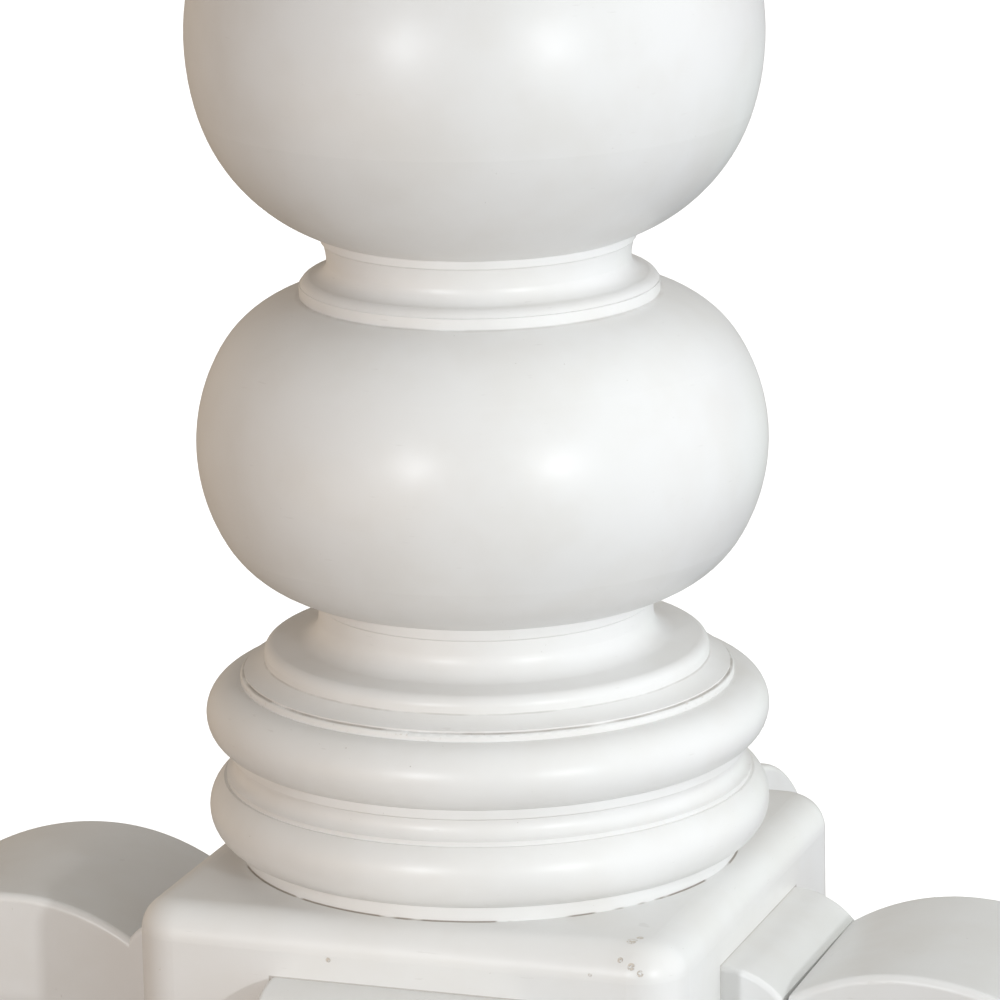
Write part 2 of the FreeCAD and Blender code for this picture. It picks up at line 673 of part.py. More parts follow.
def glide_base():
    """Round foot that stays still on the floor while the stud turns in it."""
    head_top = STUD_HEAD_BOTTOM + STUD_HEAD_HEIGHT + 0.15
    head_low = STUD_HEAD_BOTTOM - 0.15
    steps = [
        ((GLIDE_BASE_R - 1.0, 0),),
        ((GLIDE_BASE_R - 0.3, 0.3), (GLIDE_BASE_R, 1.0)),
        ((GLIDE_BASE_R, 2.4),),
        ((GLIDE_BASE_R - 4.0, 4.6), (GLIDE_BASE_R - 9.0, GLIDE_BASE_HEIGHT)),
        ((STUD_R + GLIDE_GAP, GLIDE_BASE_HEIGHT),),
        ((STUD_R + GLIDE_GAP, head_top),),
        ((STUD_HEAD_R + 0.2, head_top),),
        ((STUD_HEAD_R + 0.2, head_low),),
        ((0, head_low),),
    ]
    solid = turned((0, 0), steps)
    solid.translate(V(HUB_HALF + GLIDE_U, 0, 0))
    return solid


def glide_stud():
    """Threaded stud: a head held in the foot, a spanner collar and the thread above."""
    shank = cylinder(STUD_R, STUD_HEAD_BOTTOM, STUD_TOP)
    head = cylinder(STUD_HEAD_R, STUD_HEAD_BOTTOM, STUD_HEAD_BOTTOM + STUD_HEAD_HEIGHT)
    collar_top = STUD_COLLAR_BOTTOM + STUD_COLLAR_HEIGHT
    nut = hexagon(STUD_COLLAR_AF, STUD_COLLAR_BOTTOM, collar_top, 0)
    solid = shank.fuse(head).fuse(nut).removeSplitter()
    solid.translate(V(HUB_HALF + GLIDE_U, 0, 0))
    return solid


# ---- all nodes ------------------------------------------------------------------------

def all_nodes():
    nodes = {
        "hub_block": hub_block(),
        "base_ring": base_ring(),
        "neck_ring": neck_ring(),
        "lower_ball": lower_ball(),
        "collar": collar(),
        "upper_ball": upper_ball(),
        "top_collar": top_collar(),
        "mounting_board": mounting_board(),
        "tie_rod": tie_rod(),
        "tie_rod_nuts": Part.makeCompound(rod_nuts()),
        "tie_rod_washers": Part.makeCompound(rod_washers()),
        "board_screws": Part.makeCompound(board_screws()),
        "leg_bolts": Part.makeCompound(leg_bolts()),
        "leg_bolt_nuts": Part.makeCompound(leg_bolt_nuts()),
        "leg_bolt_washers": Part.makeCompound(leg_bolt_washers()),
        "leg_dowels": Part.makeCompound(leg_dowels()),
    }
    for name in LEG_ANGLES:
        nodes["leg_" + name] = at_leg(leg(), name)
        nodes["pad_" + name] = at_leg(pad(), name)
        nodes["glide_insert_" + name] = at_leg(glide_insert(), name)
        nodes["glide_base_" + name] = at_leg(glide_base(), name)
        nodes["glide_stud_" + name] = at_leg(glide_stud(), name)
    return nodes


os.makedirs("parts", exist_ok=True)
for node_name, node_shape in all_nodes().items():
    node_shape.exportStep("parts/" + node_name + ".step")
    print(node_name, node_shape.isValid(), len(node_shape.Solids), round(node_shape.Volume / 1000.0, 1))
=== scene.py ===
import math
import bpy
from mathutils import Matrix, Vector


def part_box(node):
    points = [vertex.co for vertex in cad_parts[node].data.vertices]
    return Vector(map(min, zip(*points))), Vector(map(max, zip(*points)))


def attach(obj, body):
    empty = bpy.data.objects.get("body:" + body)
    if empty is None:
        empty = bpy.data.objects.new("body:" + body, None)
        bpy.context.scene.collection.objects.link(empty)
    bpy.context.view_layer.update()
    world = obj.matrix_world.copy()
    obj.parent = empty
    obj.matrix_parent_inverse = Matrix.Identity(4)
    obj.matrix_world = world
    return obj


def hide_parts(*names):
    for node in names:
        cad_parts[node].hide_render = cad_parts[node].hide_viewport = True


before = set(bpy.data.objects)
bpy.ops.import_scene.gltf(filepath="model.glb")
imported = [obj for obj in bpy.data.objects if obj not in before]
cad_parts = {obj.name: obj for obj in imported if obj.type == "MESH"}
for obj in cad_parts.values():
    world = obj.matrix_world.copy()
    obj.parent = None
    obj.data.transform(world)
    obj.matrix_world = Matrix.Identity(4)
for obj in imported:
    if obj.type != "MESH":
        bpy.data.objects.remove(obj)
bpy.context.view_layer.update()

# ---- camera ----------------------------------------------------------------------------
# A long lens a little above table height, to the right of the front leg, that looks
# slightly down at the column between the hub and the upper ball.
hub_low, hub_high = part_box("hub_block")
HEADING = math.radians(19.45)
SIDE_AIM = math.radians(0.16)
PITCH = math.radians(14.36)
ROLL = math.radians(-1.11)
EYE_DISTANCE = 2.839
EYE_ABOVE_HUB = 0.9033
eye = Vector((EYE_DISTANCE * math.sin(HEADING), -EYE_DISTANCE * math.cos(HEADING),
              hub_high.z + EYE_ABOVE_HUB))
bpy.ops.object.camera_add()
camera = bpy.context.active_object
camera.name = "view_camera"
camera.data.lens = 215.1
camera.data.sensor_width = 36.0
camera.data.clip_end = 60.0
camera.matrix_world = (Matrix.Translation(eye) @ Matrix.Rotation(HEADING - SIDE_AIM, 4, "Z")
                       @ Matrix.Rotation(math.pi / 2 - PITCH, 4, "X")
                       @ Matrix.Rotation(ROLL, 4, "Z"))
bpy.context.scene.camera = camera


# ---- studio ----------------------------------------------------------------------------
# A white sheet under the pedestal, two small lamps low in front of it, a weak panel close
# to each side, and a room whose walls are bright on the right and weaker and warmer on the
# left and behind.
class Wire:
    """A value on its way through a material; sums and products add their own nodes."""

    def __init__(self, tree, socket):
        self.tree = tree
        self.socket = socket

    def make(self, kind, settings, inputs, output=0):
        """Any other node: its settings first, then values or wires for its sockets."""
        node = self.tree.nodes.new("ShaderNode" + kind)
        for name, value in settings.items():
            setattr(node, name, value)
        for key, value in inputs.items():
            socket = node.inputs[key]
            if isinstance(value, Wire):
                self.tree.links.new(value.socket, socket)
            elif socket.type == "RGBA":
                socket.default_value = tuple(value) + (1.0,)
            else:
                socket.default_value = value
        return Wire(self.tree, node.outputs[output])

    def maths(self, operation, first, second):
        return self.make("Math", {"operation": operation}, {0: first, 1: second})

    def __add__(self, other):
        return self.maths("ADD", self, other)

    def __sub__(self, other):
        return self.maths("SUBTRACT", self, other)

    def __mul__(self, other):
        return self.maths("MULTIPLY", self, other)

    def __pow__(self, other):
        return self.maths("POWER", self, other)

    def __rsub__(self, other):
        return self.maths("SUBTRACT", other, self)

    def __abs__(self):
        return self.make("Math", {"operation": "ABSOLUTE"}, {0: self})

    __radd__ = __add__
    __rmul__ = __mul__

    def ramp(self, low, high):
        """0 at low, 1 at high and smooth between; low may be the larger."""
        return self.make("MapRange", {"interpolation_type": "SMOOTHSTEP"},
                         {"Value": self, "From Min": low, "From Max": high})

    def noise(self, scale, detail=2.0, roughness=0.5):
        """Cloudy pattern on a vector, with the number of clouds to the metre."""
        return self.make("TexNoise", {}, {"Vector": self, "Scale": scale, "Detail": detail,
                                          "Roughness": roughness})

    def blend(self, colour_a, colour_b):
        """Mix of two colours, this wire being the share of the second."""
        return self.make("Mix", {"data_type": "RGBA"}, {0: self, 6: colour_a, 7: colour_b}, 2)

    def stretched(self, factors):
        return self.make("Mapping", {}, {"Vector": self, "Scale": factors})

    def along(self, direction):
        """Length of this vector along a direction, never below zero."""
        dot = self.make("VectorMath", {"operation": "DOT_PRODUCT"}, {0: self, 1: direction}, 1)
        return self.maths("MAXIMUM", dot, 0.0)

    def parts(self):
        """The three numbers of a vector."""
        return [self.make("SeparateXYZ", {}, {0: self}, i) for i in range(3)]


def direction(bearing, elevation):
    """Unit vector towards a bearing from the camera's, to the right, and an elevation."""
    turn = HEADING + math.radians(bearing)
    rise = math.radians(elevation)
    return Vector((math.sin(turn) * math.cos(rise), -math.cos(turn) * math.cos(rise), math.sin(rise)))


# bearing, elevation, sharpness and colour of the bright parts of the room
ROOM_GLOWS = [
    (90, 45, 4, (0.90, 0.94, 0.91)),
    (25, 60, 4, (0.40, 0.40, 0.39)),
    (45, 0, 4, (0.82, 0.90, 0.87)),
    (90, 0, 4, (1.05, 0.98, 1.10)),
    (180, 30, 4, (0.34, 0.32, 0.30)),
    (225, 0, 4, (0.68, 0.54, 0.38)),
    (315, 0, 4, (0.32, 0.22, 0.19)),
]
SHEET_SIZE = 30
SHEET_DROP = 0.0005
SHEET_GLOW = 0.75
LAMP_DISTANCE = 3.0
PANEL_DISTANCE = 0.9
PANEL_MIDDLE = 0.22
PANEL_WIDTH = 1.0
PANEL_HEIGHT = 0.4

bpy.context.scene.view_settings.view_transform = "Standard"
bpy.ops.mesh.primitive_plane_add(size=SHEET_SIZE, location=(0, 0, -SHEET_DROP))
studio_sheet = bpy.context.active_object
studio_sheet.name = "studio_sheet"
sheet = bpy.data.materials.new("studio_sheet")
sheet.use_nodes = True
sheet_shader = sheet.node_tree.nodes["Principled BSDF"]
sheet_shader.inputs["Base Color"].default_value = (0.9, 0.9, 0.9, 1)
sheet_shader.inputs["Roughness"].default_value = 1.0
sheet_shader.inputs["Specular IOR Level"].default_value = 0.0
sheet_shader.inputs["Emission Color"].default_value = (1, 1, 1, 1)
sheet_shader.inputs["Emission Strength"].default_value = SHEET_GLOW
sheet.cycles.emission_sampling = "NONE"
studio_sheet.data.materials.append(sheet)
studio_sheet.visible_diffuse = False
studio_sheet.visible_glossy = False

room = bpy.data.worlds.new("studio_room")
bpy.context.scene.world = room
room.use_nodes = True
room_tree = room.node_tree
outwards = Wire(room_tree, room_tree.nodes.new("ShaderNodeTexCoord").outputs["Generated"])
room_light = None
for bearing, elevation, sharpness, colour in ROOM_GLOWS:
    strongest = max(colour)
    share = outwards.along(direction(bearing, elevation)) ** sharpness * strongest
    glow = share.make("VectorMath", {"operation": "SCALE"},
                      {0: tuple(c / strongest for c in colour), "Scale": share})
    if room_light is None:
        room_light = glow
    else:
        room_light = glow.make("VectorMath", {"operation": "ADD"}, {0: room_light, 1: glow})
room_tree.links.new(room_light.socket, room_tree.nodes["Background"].inputs["Color"])


def flat_light(name, aim, away, distance, power, tint):
    """Flat light some distance away from the point that it faces."""
    bpy.ops.object.light_add(type="AREA", location=aim + away * distance)
    light = bpy.context.active_object
    light.name = name
    light.rotation_euler = away.to_track_quat("Z", "Y").to_euler()
    light.data.energy = power
    light.data.color = tint
    return light


def lamp(name, bearing, elevation, side, power, tint):
    """Square lamp aimed at the top of the lower ball."""
    aim = Vector((0, 0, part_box("lower_ball")[1].z))
    light = flat_light(name, aim, direction(bearing, elevation), LAMP_DISTANCE, power, tint)
    light.data.size = side


def low_panel(name, bearing, power, tint):
    """Weak upright panel beside the column, which the camera doesn't see."""
    aim = Vector((0, 0, PANEL_MIDDLE))
    light = flat_light(name, aim, direction(bearing, 0), PANEL_DISTANCE, power, tint)
    light.data.shape = "RECTANGLE"
    light.data.size = PANEL_WIDTH
    light.data.size_y = PANEL_HEIGHT
    light.visible_camera = False


lamp("left_lamp", -27, 8, 0.14, 26, (0.95, 1.0, 1.05))
lamp("key_lamp", 29, 7, 0.12, 23, (0.97, 1.0, 1.04))
low_panel("left_panel", -50, 0.64, (1.35, 1.0, 0.58))
low_panel("right_panel", 120, 0.50, (0.9, 1.15, 0.95))

# ---- lacquer on the turned pieces ------------------------------------------------------
# Turned hardwood, filled, primed and sprayed: satin white lacquer, a little mottled, with dust specks
# and light scuffs, and painted shade darkening the creases of the mouldings.
LACQUER_WHITE = (0.80, 0.797, 0.785)
LACQUER_SHADE = (0.775, 0.766, 0.745)
# brown of the dust specks and scuffs, and of the painted shade in the creases
DIRT_AND_SHADE_BROWN = (0.30, 0.26, 0.22)
PRIMER_BEIGE = (0.62, 0.56, 0.49)
LACQUER_ROUGHNESS = 0.38
LACQUER_RELIEF = 0.00016
SCOTIA_TOP_OVER_HUB = 0.0524
RIM_OVER_JOINT = 0.0063
CREASE_LIFT = 0.00025
CREASE_EDGE = 0.0006
CREASE_CORE = 0.0001
CREASE_WANDER = 0.0005


def new_material(name):
    """A material, the wire of its object coordinates and its shader node."""
    material = bpy.data.materials.new(name)
    material.use_nodes = True
    tree = material.node_tree
    coordinates = tree.nodes.new("ShaderNodeTexCoord").outputs["Object"]
    return material, Wire(tree, coordinates), tree.nodes["Principled BSDF"]


def finish_material(shader, colour, roughness, height, depth):
    """Join a colour, a roughness and a relief of some depth to the shader."""
    bump = height.make("Bump", {}, {"Height": height, "Distance": depth, "Strength": 1.0})
    height.tree.links.new(bump.socket, shader.inputs["Normal"])
    height.tree.links.new(colour.socket, shader.inputs["Base Color"])
    height.tree.links.new(roughness.socket, shader.inputs["Roughness"])


def give(material, *nodes):
    """Put a material on every slot of some CAD nodes."""
    for node in nodes:
        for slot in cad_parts[node].material_slots:
            slot.material = material


def lacquer(name, shade_and_crack_at=None, chips_at=None, bare_at=None):
    """Satin lacquer; the mask functions give, from the object coordinates, shares of painted crease
    shade and cracks, of knocked-off paint and of unpainted wood."""
    material, place, shader = new_material(name)
    colour = place.noise(26.0, 3.0, 0.55).ramp(0.35, 0.75).blend(LACQUER_WHITE, LACQUER_SHADE)
    specks = place.noise(640.0, 1.0).ramp(0.785, 0.83) * place.noise(38.0).ramp(0.50, 0.64)
    scuffs = place.stretched((1.0, 1.0, 9.0)).noise(75.0, 2.0).ramp(0.72, 0.78)
    colour = (specks * 0.5 + scuffs * 0.10).blend(colour, DIRT_AND_SHADE_BROWN)
    height = place.noise(260.0, 2.0, 0.6) * 0.12 + place.noise(34.0, 2.0) * 0.5 - specks * 0.6
    roughness = place.noise(45.0, 2.0) * 0.10 + scuffs * 0.08 + (LACQUER_ROUGHNESS - 0.05)
    # darkening towards brown: painted shade in the creases, and the crack at the ring's foot
    if shade_and_crack_at:
        colour = shade_and_crack_at(place).blend(colour, DIRT_AND_SHADE_BROWN)
    if chips_at:
        chips = chips_at(place)
        colour = chips.blend(colour, PRIMER_BEIGE)
        height = height - chips * 1.6
        roughness = roughness + chips * 0.25
    if bare_at:
        bare = bare_at(place)
        colour = bare.blend(colour, wood_colour(place))
        height = height - bare * wood_pores(place) * 0.5
        roughness = roughness + bare * 0.28
    finish_material(shader, colour, roughness, height, LACQUER_RELIEF)
    return material


ring_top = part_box("base_ring")[1].z
# height of each crease or joint, and how dark the painted shade in it is
shaded_creases = [
    (hub_high.z + SCOTIA_TOP_OVER_HUB, 0.22),
    (ring_top, 0.55),
    (ring_top + RIM_OVER_JOINT, 0.30),
    (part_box("neck_ring")[1].z, 0.15),
    (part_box("lower_ball")[1].z, 0.22),
    (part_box("collar")[1].z, 0.15),
]


def painted_crease_shade(place):
    """Painted shade in hairlines round the column at its creases and joints, broken up along their
    length.
    """
    height = place.parts()[2] + place.noise(60.0, 2.0) * CREASE_WANDER
    total = 0.0
    for level, strength in shaded_creases:
        line = abs(height - (level + CREASE_LIFT)).ramp(CREASE_EDGE, CREASE_CORE)
        total = total + line * strength
    return total * place.noise(55.0, 3.0).ramp(0.28, 0.60)


# turned pieces: painted shade darkening their creases
give(lacquer("lacquer_turned", painted_crease_shade), "neck_ring", "lower_ball", "collar", "upper_ball",
     "top_collar")

# ---- base ring -------------------------------------------------------------------------
# Turned ring of two tori, glued and drawn down on the hub.  The paint has cracked along
# its foot, where ring and hub shrink apart, and is rough on the rounded edge of its cap.
CRACK_EDGE = 0.0007
CRACK_CORE = 0.0002
CRACK_DARKNESS = 0.9
CAP_BEAD = 0.0038


def broken_line(place):
    """Where the crack is open: stretches of it, with gaps between them."""
    return place.noise(30.0, 3.0, 0.6).ramp(0.44, 0.52)


def foot_crack_and_crease_shade(place):
    """The crack at the ring's foot, with the painted shade of the creases above it."""
    foot = (place.parts()[2] - hub_high.z).ramp(CRACK_EDGE, CRACK_CORE)
    return painted_crease_shade(place) + foot * broken_line(place) * CRACK_DARKNESS


def cap_chips(place):
    """Rough, knocked paint along the rounded cap of the ring."""
    band = abs(place.parts()[2] - (ring_top - CAP_BEAD / 2)).ramp(0.6 * CAP_BEAD, 0.3 * CAP_BEAD)
    knocks = place.noise(420.0, 3.0, 0.65).ramp(0.60, 0.68)
    return band * knocks * place.noise(16.0).ramp(0.46, 0.58) * 0.7


# base ring: its foot crack, painted shade in its creases, and rough paint on its cap
give(lacquer("lacquer_ring", foot_crack_and_crease_shade, cap_chips), "base_ring")


# ---- hub block -------------------------------------------------------------------------
# Square block glued up from planed boards, with rounded upright corners and a rolled top
# edge.  It is painted outside; the pocket underneath and the bottom face are bare.
WOOD_LIGHT = (0.60, 0.43, 0.26)
WOOD_DARK = (0.43, 0.28, 0.15)
POCKET_HALF = 0.0755
POCKET_TOP = 0.1345
RING_FOOT_RADIUS = 0.1232
PAD_HALF_WIDTH = 0.065
PAD_TOP = 0.134
SEAM_EDGE = 0.0008
SEAM_CORE = 0.0003
SEAM_END = 0.001
SEAM_DARKNESS = 0.55
# middle and size of each knock, all but one of them near the front right corner
HUB_KNOCKS = [
    ((0.1138, -0.1245, 0.1640), 0.0030),
    ((0.1162, -0.1197, 0.1640), 0.0022),
    ((0.1112, -0.1352, 0.1576), 0.0016),
    ((0.1170, -0.1362, 0.1550), 0.0022),
    ((0.1216, -0.1371, 0.1523), 0.0018),
    ((0.0973, -0.1387, 0.1500), 0.0010),
    ((-0.0348, -0.1390, 0.1453), 0.0014),
]


def wood_colour(place):
    """Planed beech-like wood, its grain running along X."""
    grain = place.stretched((0.06, 1.0, 1.0))
    rings = grain.noise(70.0, 4.0, 0.6).ramp(0.3, 0.7)
    rays = place.stretched((0.15, 1.0, 1.0)).noise(900.0, 2.0).ramp(0.45, 0.75) * 0.5
    return (rings * 0.75 + rays).blend(WOOD_LIGHT, WOOD_DARK)


def wood_pores(place):
    return place.stretched((0.05, 1.0, 1.0)).noise(1400.0, 2.0).ramp(0.5, 0.8)


def hub_lines(place):
    """Crack round the foot of the ring and the seams round the four pads."""
    x, y, z = place.parts()
    x, y = abs(x), abs(y)
    radius = (x * x + y * y) ** 0.5
    top = z.ramp(hub_high.z - 0.0008, hub_high.z - 0.0002)
    crack = abs(radius - RING_FOOT_RADIUS - 0.0002).ramp(CRACK_EDGE, CRACK_CORE) * top
    crack = crack * broken_line(place) * CRACK_DARKNESS
    outer = x.maths("MAXIMUM", x, y)
    inner = x.maths("MINIMUM", x, y)
    face = outer.ramp(hub_high.x - 0.0006, hub_high.x - 0.0002)
    beside = abs(inner - PAD_HALF_WIDTH).ramp(SEAM_EDGE, SEAM_CORE)
    beside = beside * z.ramp(PAD_TOP + SEAM_END, PAD_TOP)
    over = abs(z - PAD_TOP).ramp(SEAM_EDGE, SEAM_CORE)
    over = over * inner.ramp(PAD_HALF_WIDTH + SEAM_END, PAD_HALF_WIDTH)
    return crack + beside.maths("MAXIMUM", beside, over) * face * SEAM_DARKNESS


def hub_bare(place):
    """The pocket underneath and the bottom face."""
    x, y, z = place.parts()
    outer = x.maths("MAXIMUM", abs(x), abs(y))
    pocket = outer.ramp(POCKET_HALF + 0.0005, POCKET_HALF) * z.ramp(POCKET_TOP + 0.0005, POCKET_TOP)
    bottom = z.ramp(hub_low.z + 0.0006, hub_low.z + 0.0003)
    return pocket.maths("MAXIMUM", pocket, bottom)


def edge_chips(place):
    """A few small chips where paint has come off down to the primer."""
    return place.noise(150.0, 3.0, 0.7).ramp(0.765, 0.79) * place.noise(11.0).ramp(0.50, 0.60)


def hub_chips(place):
    """The small chips and the knocks, each knock a ragged spot."""
    spots = edge_chips(place)
    ragged = place.noise(900.0, 2.0).ramp(0.42, 0.52)
    for middle, size in HUB_KNOCKS:
        away = place.make("VectorMath", {"operation": "DISTANCE"}, {0: place, 1: middle}, 1)
        spots = spots + away.ramp(size, 0.7 * size) * ragged
    return spots


give(lacquer("lacquer_hub", hub_lines, hub_chips, hub_bare), "hub_block")

# ---- legs and pads ---------------------------------------------------------------------
# Band-sawn scroll legs with a planed pad between leg and hub, sprayed with the rest.  The
# soles were left bare when the legs stood on them to dry.
SIDES = ("front", "right", "back", "left")
SOLE_HEIGHT = 0.012


def sole_bare(place):
    """The flat underside of each foot."""
    return place.parts()[2].ramp(SOLE_HEIGHT + 0.0007, SOLE_HEIGHT + 0.0003)


give(lacquer("lacquer_legs", None, edge_chips, sole_bare),
     *[part + side for part in ("leg_", "pad_") for side in SIDES])

# ---- mounting board --------------------------------------------------------------------
# Glued-up hardwood board, painted below and on its edges and left bare where the table
# top lies on it.
board_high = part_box("mounting_board")[1]


def board_bare(place):
    """The top face of the board."""
    return place.parts()[2].ramp(board_high.z - 0.0006, board_high.z - 0.0002)


give(lacquer("lacquer_board", None, None, board_bare), "mounting_board")

# ---- dowels ----------------------------------------------------------------------------
# Bare fluted beech dowels, glued between pad and leg.
dowel_wood, place, shader = new_material("dowel_wood")
finish_material(shader, wood_colour(place), place.noise(80.0) * 0.1 + 0.55, wood_pores(place), 0.0001)
give(dowel_wood, "leg_dowels")

# ---- nuts, washers and inserts ---------------------------------------------------------
# Zinc-plated steel: cold-formed nuts, punched washers and pressed-in threaded inserts,
# with the faint yellow and blue cast of the passivation.
ZINC_GREY = (0.60, 0.60, 0.585)
ZINC_YELLOW = (0.62, 0.585, 0.50)
ZINC_DULL = (0.36, 0.355, 0.34)

zinc_steel, place, shader = new_material("zinc_steel")
cast = place.noise(95.0, 3.0).ramp(0.35, 0.7).blend(ZINC_GREY, ZINC_YELLOW)
dull = place.noise(420.0, 3.0, 0.65).ramp(0.58, 0.72)
finish_material(shader, (dull * 0.6).blend(cast, ZINC_DULL), place.noise(260.0, 3.0) * 0.2 + 0.24,
                place.noise(1500.0, 2.0) * 0.5 + dull * 0.5, 0.00003)
shader.inputs["Metallic"].default_value = 1.0
give(zinc_steel, "tie_rod_nuts", "tie_rod_washers", "leg_bolt_nuts", "leg_bolt_washers",
     *["glide_insert_" + side for side in SIDES])

# ---- tie rod ---------------------------------------------------------------------------
# M12 steel rod up the middle of the pedestal, plain between the rolled threads at its two
# ends, with a chamfer on each end.
M12_RADIUS = 0.006
M12_PITCH = 0.00175
ROD_THREAD_LENGTH = 0.045
ROD_CHAMFER = 0.0006
CORE_UNDER_CREST = 0.0009
SHANK_UNDER_CREST = 0.0004
RIDGE_DEPTH = 0.0011
RIDGE_SHARE_OF_PITCH = 0.92
THREAD_START = 0.0008
THREAD_STEPS = 24
TRIANGLE_HEIGHT = 1.5


def rod(name, radius, length, chamfer):
    """Plain round rod on the Z axis, from 0 up, with chamfered ends."""
    bpy.ops.object.select_all(action="DESELECT")
    bpy.ops.mesh.primitive_cylinder_add(vertices=40, radius=radius, depth=length,
                                        location=(0, 0, length / 2))
    piece = bpy.context.active_object
    piece.name = name
    bpy.ops.object.transform_apply(location=True, rotation=True, scale=True)
    bpy.ops.object.mode_set(mode="EDIT")
    bpy.ops.mesh.select_all(action="DESELECT")
    bpy.ops.mesh.select_mode(type="EDGE")
    bpy.ops.object.mode_set(mode="OBJECT")
    for edge in piece.data.edges:
        a, b = (piece.data.vertices[i].co.z for i in edge.vertices)
        edge.select = abs(a - b) < 1e-6
    bpy.ops.object.mode_set(mode="EDIT")
    bpy.ops.mesh.bevel(offset=chamfer, segments=2, profile=0.5)
    bpy.ops.object.mode_set(mode="OBJECT")
    return piece


def thread(radius, pitch, low, high, depth):
    """Helical ridge on the Z axis from low to high, its crest at the given radius.

    Its section starts as a triangle in a circle of radius 1, which is TRIANGLE_HEIGHT tall
    on a base of sqrt(3).
    """
    bpy.ops.object.select_all(action="DESELECT")
    bpy.ops.mesh.primitive_circle_add(vertices=3, radius=1.0, fill_type="NOTHING",
                                      rotation=(math.pi / 2, 0, 0))
    ridge = bpy.context.active_object
    bpy.ops.object.transform_apply(location=True, rotation=True, scale=True)
    bpy.ops.object.mode_set(mode="EDIT")
    bpy.ops.mesh.select_all(action="SELECT")
    bpy.ops.transform.rotate(value=-math.pi / 2, orient_axis="Y", center_override=(0, 0, 0))
    base = pitch * RIDGE_SHARE_OF_PITCH / math.sqrt(3)
    bpy.ops.transform.resize(value=(depth / TRIANGLE_HEIGHT, 1, base), center_override=(0, 0, 0))
    bpy.ops.object.mode_set(mode="OBJECT")
    crest = max(v.co.x for v in ridge.data.vertices)
    bpy.ops.object.mode_set(mode="EDIT")
    bpy.ops.transform.translate(value=(radius - crest, 0, low + pitch / 2))
    bpy.ops.object.mode_set(mode="OBJECT")
    screw = ridge.modifiers.new("turns", "SCREW")
    screw.axis = "Z"
    screw.angle = 2 * math.pi
    screw.screw_offset = pitch
    screw.iterations = max(1, int((high - low) / pitch) - 1)
    screw.steps = THREAD_STEPS
    screw.render_steps = THREAD_STEPS
    screw.use_merge_vertices = False
    bpy.ops.object.modifier_apply(modifier="turns")
    bpy.ops.object.mode_set(mode="EDIT")
    bpy.ops.mesh.select_all(action="SELECT")
    bpy.ops.mesh.fill_holes(sides=3)
    bpy.ops.mesh.normals_make_consistent(inside=False)
    bpy.ops.object.mode_set(mode="OBJECT")
    return ridge


def joined(name, pieces):
    """One zinc-plated object of several pieces, its place in its mesh."""
    bpy.ops.object.select_all(action="DESELECT")
    for piece in pieces:
        piece.select_set(True)
    bpy.context.view_layer.objects.active = pieces[0]
    bpy.ops.object.join()
    bpy.ops.object.transform_apply(location=True, rotation=True, scale=True)
    piece = bpy.context.active_object
    piece.name = name
    piece.data.materials.clear()
    piece.data.materials.append(zinc_steel)
    bpy.ops.object.shade_smooth_by_angle(angle=math.radians(35))
    return piece


def placed_copy(piece, matrix):
    """A copy with its own mesh, moved to its place."""
    bpy.ops.object.select_all(action="DESELECT")
    piece.select_set(True)
    bpy.context.view_layer.objects.active = piece
    bpy.ops.object.duplicate(linked=False)
    copy = bpy.context.active_object
    copy.matrix_world = matrix
    bpy.ops.object.transform_apply(location=True, rotation=True, scale=True)
    return copy


def removed(piece):
    bpy.data.objects.remove(piece, do_unlink=True)


rod_low, rod_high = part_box("tie_rod")
rod_length = rod_high.z - rod_low.z
rod_core = rod("rod_core", M12_RADIUS - CORE_UNDER_CREST, rod_length, ROD_CHAMFER)
shank = rod("shank", M12_RADIUS - SHANK_UNDER_CREST, rod_length - 2 * ROD_THREAD_LENGTH, ROD_CHAMFER)
rod_shank = placed_copy(shank, Matrix.Translation((0, 0, ROD_THREAD_LENGTH)))
removed(shank)
rod_threads = [thread(M12_RADIUS, M12_PITCH, low, low + ROD_THREAD_LENGTH - 0.001, RIDGE_DEPTH)
               for low in (THREAD_START, rod_length - ROD_THREAD_LENGTH)]
tie_rod = joined("threaded_rod", [rod_core, rod_shank] + rod_threads)
tie_rod.location = (0, 0, rod_low.z)
bpy.ops.object.transform_apply(location=True, rotation=True, scale=True)
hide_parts("tie_rod")
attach(tie_rod, "pedestal")

# ---- hanger bolts ----------------------------------------------------------------------
# Two M10 hanger bolts to a leg: a coarse wood thread screwed into the leg, a plain middle
# through pad and hub, and a metric thread in the pocket for the nut.
M10_RADIUS = 0.005
M10_PITCH = 0.0015
WOOD_PITCH = 0.004
METRIC_LENGTH = 0.042
WOOD_LENGTH = 0.062
SHANK_CHAMFER = 0.0005
BOLT_SPREAD = 0.035
BOLT_REACH = 0.006

bolt_low, bolt_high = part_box("leg_bolts")
bolt_z = (bolt_low.z + bolt_high.z) / 2
# inner end of the bolts that lie along X, clear of the ones that lie along Y
bolt_start = min(abs(v.co.x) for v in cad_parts["leg_bolts"].data.vertices
                 if abs(abs(v.co.y) - BOLT_SPREAD) < BOLT_REACH
                 and abs(v.co.x) > BOLT_SPREAD + BOLT_REACH)
bolt_length = bolt_high.x - bolt_start
bolt_core = rod("bolt_core", M10_RADIUS - CORE_UNDER_CREST, bolt_length, ROD_CHAMFER)
shank = rod("shank", M10_RADIUS - SHANK_UNDER_CREST, bolt_length - METRIC_LENGTH - WOOD_LENGTH,
            SHANK_CHAMFER)
bolt_shank = placed_copy(shank, Matrix.Translation((0, 0, METRIC_LENGTH)))
removed(shank)
metric = thread(M10_RADIUS, M10_PITCH, THREAD_START, METRIC_LENGTH - 0.001, RIDGE_DEPTH)
coarse = thread(M10_RADIUS, WOOD_PITCH, bolt_length - WOOD_LENGTH, bolt_length - 0.001, RIDGE_DEPTH)
